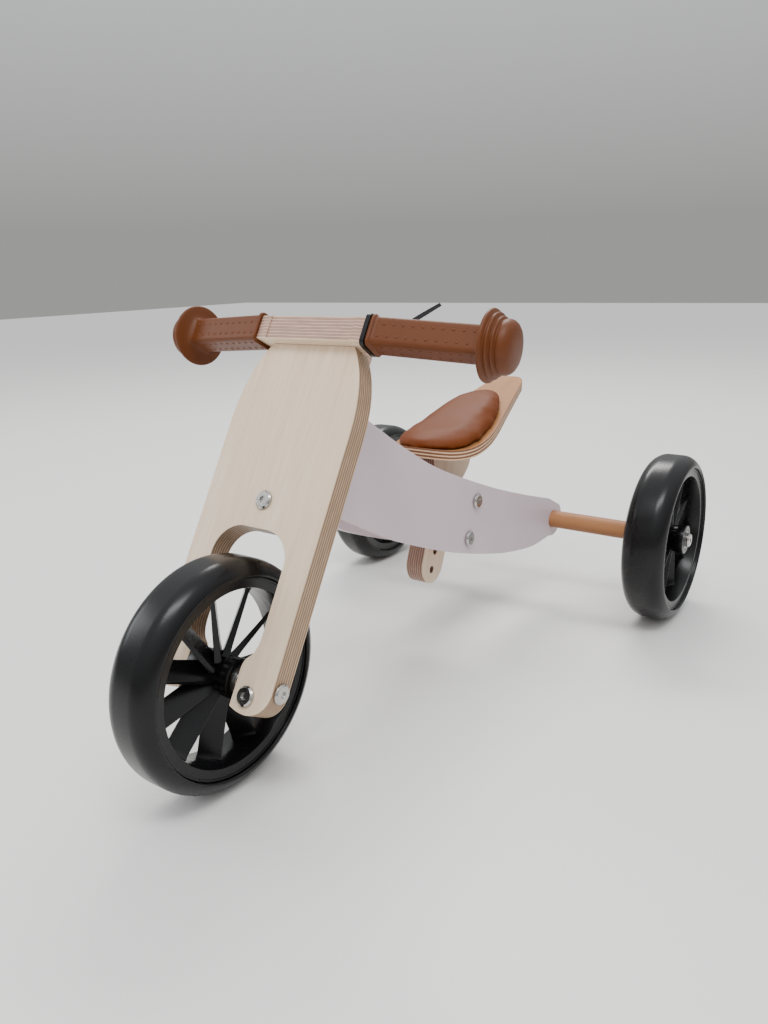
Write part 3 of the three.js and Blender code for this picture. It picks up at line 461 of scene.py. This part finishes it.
def clear_normals(piece):
    """Drops the shading that came with a CAD mesh."""
    bpy.context.view_layer.objects.active = piece
    if piece.data.has_custom_normals:
        bpy.ops.mesh.customdata_custom_splitnormals_clear()


def soften(node, width, segments=2):
    """Welds a CAD node's facets into flat faces and rounds its edges."""
    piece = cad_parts[node]
    clear_normals(piece)
    piece.data.shade_smooth()
    weld = piece.modifiers.new("weld", "WELD")
    weld.merge_threshold = SAME_POINT
    flat = piece.modifiers.new("flat", "DECIMATE")
    flat.decimate_type = "DISSOLVE"
    flat.angle_limit = math.radians(0.5)
    bevel = piece.modifiers.new("bevel", "BEVEL")
    bevel.width = width
    bevel.segments = segments
    bevel.limit_method = "ANGLE"
    bevel.angle_limit = math.radians(35)
    bevel.harden_normals = True
    bevel.use_clamp_overlap = True


# ---- Wheels ----

WHEEL_RADIUS = (tyre_box[1].z - tyre_box[0].z) / 2
WHEEL_HALF = (tyre_box[1].x - tyre_box[0].x) / 2
TYRE_SHOULDER = 0.017
TYRE_GAP = 0.0003
RIM_SEAT = 0.0847
RIM_HALF = 0.020
RIM_LIP = 0.0022
GROOVE = 0.0012
HUB_RADIUS = 0.017
HUB_WAIST = 0.0022
HUB_BORE = 0.0113
AXLE_BORE = 0.006
BEARING_DEPTH = 0.0074
SPOKES = 11
SPOKE_PITCH = math.radians(45)


def wheel_centre(wheel):
    low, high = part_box(f"{wheel}_tyre")
    return (low + high) / 2


def tyre_profile():
    """A nearly half round tread with side walls, down to its seat on the rim."""
    steps = 12
    shoulder = [math.radians(78 * step / steps) for step in range(steps + 1)]
    centre = WHEEL_HALF - TYRE_SHOULDER
    points = []
    for side, arc in ((-1, reversed(shoulder)), (1, shoulder)):
        for angle in arc:
            radius = WHEEL_RADIUS - TYRE_SHOULDER * (1 - math.cos(angle))
            points.append((radius, side * (centre + TYRE_SHOULDER * math.sin(angle))))
    inner = RIM_SEAT + TYRE_GAP
    edge = RIM_HALF + GROOVE
    return points + [(inner, edge), (inner, -edge)]


def make_tyre(wheel, body):
    place = Matrix.Translation(wheel_centre(wheel))
    tyre = new_object(f"{wheel}_tyre_skin", lambda bm: lathe(bm, tyre_profile(), place, 128))
    finish_piece(tyre, body, "tyre_rubber", MATERIALS["tyre"], f"{wheel}_tyre")


def rim_profile():
    """The barrel: a waist inside, a flat lip on each side, and the tyre's seat."""
    lip = RIM_SEAT - RIM_LIP
    edge = RIM_HALF + GROOVE
    inside, waist, waist_half = 0.0750, 0.0725, 0.004
    outline = [
        (inside, -RIM_HALF), (lip, -RIM_HALF), (lip, -edge), (RIM_SEAT, -edge),
        (RIM_SEAT, edge), (lip, edge), (lip, RIM_HALF), (inside, RIM_HALF),
        (waist, waist_half), (waist, -waist_half),
    ]
    return rounded(outline, 0.0008)


def hub_profile():
    """The hub: a shallow waist outside, and a bore with a wider seat for each bearing."""
    half = WHEEL_HALF - 0.0006
    seat = half - BEARING_DEPTH
    waist = HUB_RADIUS - HUB_WAIST
    outline = [
        (HUB_BORE, -half), (HUB_RADIUS, -half), (HUB_RADIUS, -half * 0.62), (waist, -half * 0.3),
        (waist, half * 0.3), (HUB_RADIUS, half * 0.62), (HUB_RADIUS, half), (HUB_BORE, half),
        (HUB_BORE, seat), (AXLE_BORE, seat), (AXLE_BORE, -seat), (HUB_BORE, -seat),
    ]
    return rounded(outline, 0.001)


def add_spoke(bm, place):
    """A flat blade, thicker at the hub, that flares where it meets the hub and the rim."""
    # Distance from the axle, half the thickness and half the width, in mm.
    stations = [
        (13.5, 3.6, 10.4), (17, 3.3, 10.1), (24, 2.8, 10),
        (68, 1.8, 10), (71.5, 2.2, 10.4), (73.5, 3.0, 11),
    ]
    chamfer = 0.5
    rings = []
    for reach, thick, wide in stations:
        inner_wide, inner_thick = wide - chamfer, thick - chamfer
        corners = [
            (wide, inner_thick), (inner_wide, thick), (-inner_wide, thick), (-wide, inner_thick),
            (-wide, -inner_thick), (-inner_wide, -thick), (inner_wide, -thick), (wide, -inner_thick),
        ]
        rings.append([place @ (Vector((x, y, reach)) * MM) for x, y in corners])
    rows = add_rings(bm, rings, closed=False)
    bm.faces.new(rows[0])
    bm.faces.new(rows[-1])


def make_rim(wheel, body):
    place = Matrix.Translation(wheel_centre(wheel))
    pitch = Matrix.Rotation(-SPOKE_PITCH, 4, "Z")

    def build(bm):
        lathe(bm, rim_profile(), place, 96)
        lathe(bm, hub_profile(), place, 64)
        for i in range(SPOKES):
            add_spoke(bm, place @ Matrix.Rotation(2 * math.pi * i / SPOKES, 4, "X") @ pitch)

    rim = new_object(f"{wheel}_rim_body", build)
    edges = rim.modifiers.new("edges", "EDGE_SPLIT")
    edges.split_angle = math.radians(38)
    finish_piece(rim, body, "wheel_plastic", MATERIALS["wheel"], f"{wheel}_rim")


# ---- Grips ----

SWEEP = math.radians(6.8)
BAR_HALF = 0.058
ARM_HALF = 0.011
BAR_FRONT = 0.0205
GRIP_AXIS_HEIGHT = 0.3018
GRIP_FLANGE = 0.1025
GRIP_LENGTH = 0.1265
GRIP_BARREL = 0.0127
GRIP_CORNER = 0.0034
GRIP_SEGMENTS = 64
BEAD_STEP = 0.0019
COLLAR = 0.005                 # bare length under the strap, on the left arm only


def arm_frame(side):
    """X runs out along one arm from the end of the bar's middle block, Y back and Z up."""
    start = (side * (BAR_HALF - ARM_HALF * math.tan(SWEEP)), ARM_HALF - BAR_FRONT, GRIP_AXIS_HEIGHT)
    turn = Matrix.Rotation(side * SWEEP, 4, "Z")
    mirror = Matrix.Diagonal((side, 1, 1, 1))
    return steering_place @ Matrix.Translation(start) @ turn @ mirror


def square_ring(half, corner):
    """Points of a rounded square, evenly spread by angle."""
    flat = half - corner
    points = []
    for direction in map(Vector, circle(1, GRIP_SEGMENTS, 0.5)):
        reach = half / max(abs(direction.x), abs(direction.y))
        x, y = direction * reach
        if abs(x) > flat and abs(y) > flat:
            centre = Vector((math.copysign(flat, x), math.copysign(flat, y)))
            along = direction.dot(centre)
            reach = along + math.sqrt(max(0.0, corner ** 2 - centre.length_squared + along ** 2))
            x, y = direction * reach
        points.append((x, y))
    return points


def barrel_stations(collar, flange):
    """The square part from inside the arm's opening to the flange: (half width, corner radius, distance)."""
    barrel, corner = GRIP_BARREL, GRIP_CORNER
    inside = ARM_HALF + 0.0004
    deep_inside = 0.100
    start = 0.0006
    bead = collar + start
    slope, bead_corner = BEAD_STEP - 0.0007, corner + 0.001
    return [
        (inside, 0.001, deep_inside), (inside, 0.001, start + 0.0002), (barrel - 0.0005, corner, start),
        (barrel, corner, start + 0.0006), (barrel, corner, bead - 0.0001),
        (barrel + slope, bead_corner, bead + 0.0001),
        (barrel + BEAD_STEP, bead_corner + 0.0007, bead + 0.0008),
        (barrel + BEAD_STEP, bead_corner + 0.0007, bead + 0.0024),
        (barrel + slope, bead_corner, bead + 0.0032), (barrel + 0.0001, corner, bead + 0.0038),
        (barrel - 0.0001, corner, bead + 0.006), (barrel, corner, flange - 0.008),
        (barrel + 0.0001, bead_corner, flange - 0.0035),
    ]


# The flange, two more stacked rings and the domed knob: (radius, distance past the flange's face), in mm.
GRIP_END = [
    (18.4, -1.6), (23.0, -0.6), (27.5, 0.0), (28.6, 0.4), (29.0, 1.2), (29.0, 2.0), (28.6, 2.9), (27.6, 3.6),
    (25.8, 4.1), (25.4, 4.9), (26.0, 5.5), (26.3, 6.2), (26.0, 7.1), (25.0, 7.7), (23.0, 8.1), (22.6, 8.9),
    (23.2, 9.4), (23.5, 10.0), (23.2, 10.8), (22.2, 11.4), (21.0, 11.8), (20.8, 12.5), (21.5, 13.2),
    (21.8, 14.4), (21.6, 16.4), (20.9, 18.4), (19.4, 20.4), (17.0, 22.0), (13.4, 23.1), (9.0, 23.7),
    (4.5, 23.95),
]


def make_grip(side, name, collar):
    place = arm_frame(side)
    flange = GRIP_FLANGE + collar
    tip = GRIP_LENGTH + collar - 0.0001

    def build(bm):
        rings = [
            [place @ Vector((distance, y, z)) for y, z in square_ring(half, corner)]
            for half, corner, distance in barrel_stations(collar, flange)
        ]
        for radius, distance in GRIP_END:
            x = flange + distance * MM
            rings.append([place @ Vector((x, y, z)) for y, z in circle(radius * MM, GRIP_SEGMENTS, 0.5)])
        rings.append([place @ Vector((tip, 0, 0))])
        add_rings(bm, rings, closed=False)
        add_dots(bm, place, collar + 0.0006, flange)

    grip = new_object(f"grip_{name}_rubber", build)
    finish_piece(grip, "steering", "grip_rubber", MATERIALS["grip"], f"grip_{name}")


DOTS_IN_ROW = 10
DOT_ROW_OFFSET = 0.0053
DOT_RADIUS = 0.0016
DOT_HEIGHT = 0.0006
DOT_MARGIN = 0.009             # from the start of the grip to the first dot


def add_dots(bm, place, start, flange):
    """Two rows of low round dots on each flat of the barrel, the second row set on by part of a step."""
    pitch = (flange - start - 0.022) / (DOTS_IN_ROW - 1)
    for quarter in range(4):
        turn = Matrix.Rotation(quarter * math.pi / 2, 4, "X")
        for across, shift in ((-DOT_ROW_OFFSET, 0), (DOT_ROW_OFFSET, 0.4 * pitch)):
            for i in range(DOTS_IN_ROW):
                distance = start + DOT_MARGIN + i * pitch + shift
                centre = Matrix.Translation((distance, across, GRIP_BARREL - 0.0001))
                add_dot(bm, place @ turn @ centre)


def add_dot(bm, place):
    """A low dome that stands along the placed Z axis."""
    rings = []
    for level in (0.0, 0.35, 0.7):
        angle = level * math.pi / 2
        height = DOT_HEIGHT * math.sin(angle)
        rings.append([place @ Vector((x, y, height)) for x, y in circle(DOT_RADIUS * math.cos(angle), 10)])
    rings.append([place @ Vector((0, 0, DOT_HEIGHT))])
    add_rings(bm, rings, closed=False)


# ---- Seat pad ----

PAD_SWELL = 0.004              # the furthest that the pressure may move a point
PAD_LIFT = 0.0001              # between the board and the pad


def make_pad():
    """The foam pad: the CAD solid, remeshed, blown up a little by cloth pressure, and smoothed."""
    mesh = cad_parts["seat_pad"].data.copy()
    pad = bpy.data.objects.new("seat_pad_cover", mesh)
    bpy.context.scene.collection.objects.link(pad)
    clear_normals(pad)
    weld_mesh(mesh)
    low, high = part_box("seat_pad")
    centre = (low + high) / 2
    shrink = Matrix.Diagonal((0.99, 0.992, 1, 1))
    mesh.transform(Matrix.Translation(centre) @ shrink @ Matrix.Translation(-centre))
    apply_modifier(pad, "REMESH", mode="VOXEL", voxel_size=0.004)
    start = [vertex.co.copy() for vertex in pad.data.vertices]
    blow_up(pad)
    limit_movement(pad, start, PAD_SWELL)
    apply_modifier(pad, "SMOOTH", factor=0.5, iterations=14)
    apply_modifier(pad, "SUBSURF", levels=1, render_levels=1)
    keep_above_board(pad)
    pad.data.shade_smooth()
    finish_piece(pad, "frame", "seat_cover", MATERIALS["leather"], "seat_pad")


def weld_mesh(mesh):
    bm = bmesh.new()
    bm.from_mesh(mesh)
    bmesh.ops.remove_doubles(bm, verts=bm.verts, dist=SAME_POINT)
    bm.to_mesh(mesh)
    bm.free()


def apply_modifier(piece, kind, **settings):
    bpy.context.view_layer.objects.active = piece
    modifier = piece.modifiers.new(kind.lower(), kind)
    for key, value in settings.items():
        setattr(modifier, key, value)
    bpy.ops.object.modifier_apply(modifier=modifier.name)


def blow_up(pad):
    """Twenty frames of cloth under pressure, with gravity off."""
    bpy.context.view_layer.objects.active = pad
    cloth = pad.modifiers.new("cloth", "CLOTH")
    cloth.settings.use_pressure = True
    cloth.settings.uniform_pressure_force = 4
    cloth.settings.effector_weights.gravity = 0
    cloth.settings.quality = 6
    scene = bpy.context.scene
    for number in range(1, 21):
        scene.frame_set(number)
    bpy.ops.object.modifier_apply(modifier=cloth.name)
    scene.frame_set(1)


def limit_movement(piece, start, cap):
    for vertex, before in zip(piece.data.vertices, start):
        moved = vertex.co - before
        if moved.length > cap:
            vertex.co = before + moved.normalized() * cap


def keep_above_board(pad):
    """Lifts the pad's underside to the top of the board wherever it sank into it."""
    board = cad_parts["seat_board"]
    up = Vector((0, 0, 1))
    for vertex in pad.data.vertices:
        hit, place, _, _ = board.ray_cast(vertex.co + 0.05 * up, -up)
        if hit:
            vertex.co.z = max(vertex.co.z, place.z + PAD_LIFT)


# ---- Finishing ----

def finish_piece(piece, body, slot, material, *replaced):
    piece.data.materials.clear()
    piece.data.materials.append(material)
    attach(piece, body)
    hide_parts(*replaced)


def paint_node(node, material):
    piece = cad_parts[node]
    piece.data.materials.clear()
    piece.data.materials.append(material)


FORK_THICKNESS = 0.021
BAR_THICKNESS = 0.022
BAR_BOTTOM = 0.2908
BRACKET_BOTTOM = 0.1393
BRACKET_THICKNESS = 0.016
POST_THICKNESS = 0.021
SEAT_LEAN = math.radians(22)
FASTENERS = ("bolt", "nut", "screw", "washer", "spacer", "insert")


def dress_board(node, rounding, place, **board):
    """board holds what board_material asks for beside its name and place."""
    paint_node(node, board_material(f"birch_{node}", place, **board))
    soften(node, rounding, 3)


def dress_boards():
    """The four flat birch boards."""
    post_place = seat_post_place()
    dress_board("fork_board", 0.0012, steering_place, axis=1, thickness=FORK_THICKNESS,
                start=-FORK_THICKNESS / 2, count=15, along=2, edge=BIRCH_EDGE)
    dress_board("handlebar", 0.0015, steering_place, axis=2, thickness=BAR_THICKNESS,
                start=BAR_BOTTOM, count=15, along=0, edge=BAR_EDGE)
    dress_board("steering_bracket", 0.001, steering_place, axis=2, thickness=BRACKET_THICKNESS,
                start=BRACKET_BOTTOM, count=11, along=0, edge=BIRCH_EDGE)
    # The seat post's edges take the darkened plies: painted shade under the seat.
    dress_board("seat_post", 0.0012, post_place, axis=0, thickness=POST_THICKNESS,
                start=-POST_THICKNESS / 2, count=15, along=2, edge=SHADED_POST_EDGE)


def seat_post_place():
    """A frame that leans back with the seat post, Z up along it."""
    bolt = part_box("seat_bolt_lower")[0]
    return Matrix.Translation((0, bolt.y, 0)) @ Matrix.Rotation(-SEAT_LEAN, 4, "X")


def dress_beech(node, place, along, rounding):
    paint_node(node, beech_material(f"beech_{node}", place, along))
    soften(node, rounding)


def dress_nodes():
    """Materials and rounded edges for the CAD pieces that stay."""
    dress_boards()
    paint_node("seat_board", seat_board_material())
    soften("seat_board", 0.0008)
    for side in ("left", "right"):
        paint_node(f"side_panel_{side}", paint_material(side))
        soften(f"side_panel_{side}", 0.0014, 3)
        dress_beech(f"seat_block_{side}", seat_post_place(), 2, 0.0006)
    dress_beech("steering_post", steering_place, 2, 0.0008)
    dress_beech("rear_axle_dowel", Matrix.Identity(4), 0, 0.0005)
    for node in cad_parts:
        if "bearing" in node:
            paint_node(node, MATERIALS["bearing"])
        elif "bush" in node:
            paint_node(node, MATERIALS["nylon"])
        elif any(word in node for word in FASTENERS):
            paint_node(node, MATERIALS["nylon" if "thrust" in node else "nickel"])
            soften(node, 0.0003)
    paint_node("cable_tie", MATERIALS["tie"])
    soften("cable_tie", 0.0003)


def seat_board_material():
    """Birch veneer on top, and plies with dark glue lines round the curved edge."""
    mark_depth(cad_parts["seat_board"])
    nodes = Nodes("birch_seat_board")
    depth = nodes.add("ShaderNodeAttribute", attribute_name="depth").outputs["Fac"]
    face, pores = grain(nodes, Matrix.Identity(4), 1, *SEAT_FACE)
    edge = plies(nodes, depth, 6, *SEAT_EDGE)
    colour = nodes.mix(nodes.facing(2, 0.75), edge, face)
    nodes.set(Base_Color=colour, Roughness=0.5, Specular_IOR_Level=0.15)
    nodes.bump(as_grey(nodes, pores), 0.0002, 0.3)
    return nodes.material


def mark_depth(board):
    """Writes each point's depth in the bent board, 0 below and 1 above, from the points in line with it."""
    tenths = [round(vertex.co.y / (0.1 * MM)) for vertex in board.data.vertices]
    heights = {}
    for tenth, vertex in zip(tenths, board.data.vertices):
        heights.setdefault(tenth, []).append(vertex.co.z)
    depth = board.data.attributes.new("depth", "FLOAT", "POINT")
    for tenth, vertex, written in zip(tenths, board.data.vertices, depth.data):
        low, high = min(heights[tenth]), max(heights[tenth])
        is_line = high - low < 4 * MM
        written.value = 0.5 if is_line else (vertex.co.z - low) / (high - low)


make_camera()
make_studio()
dress_nodes()
for wheel_name, wheel_body in WHEELS.items():
    make_tyre(wheel_name, wheel_body)
    make_rim(wheel_name, wheel_body)
make_grip(1, "left", COLLAR)
make_grip(-1, "right", 0.0)
make_pad()
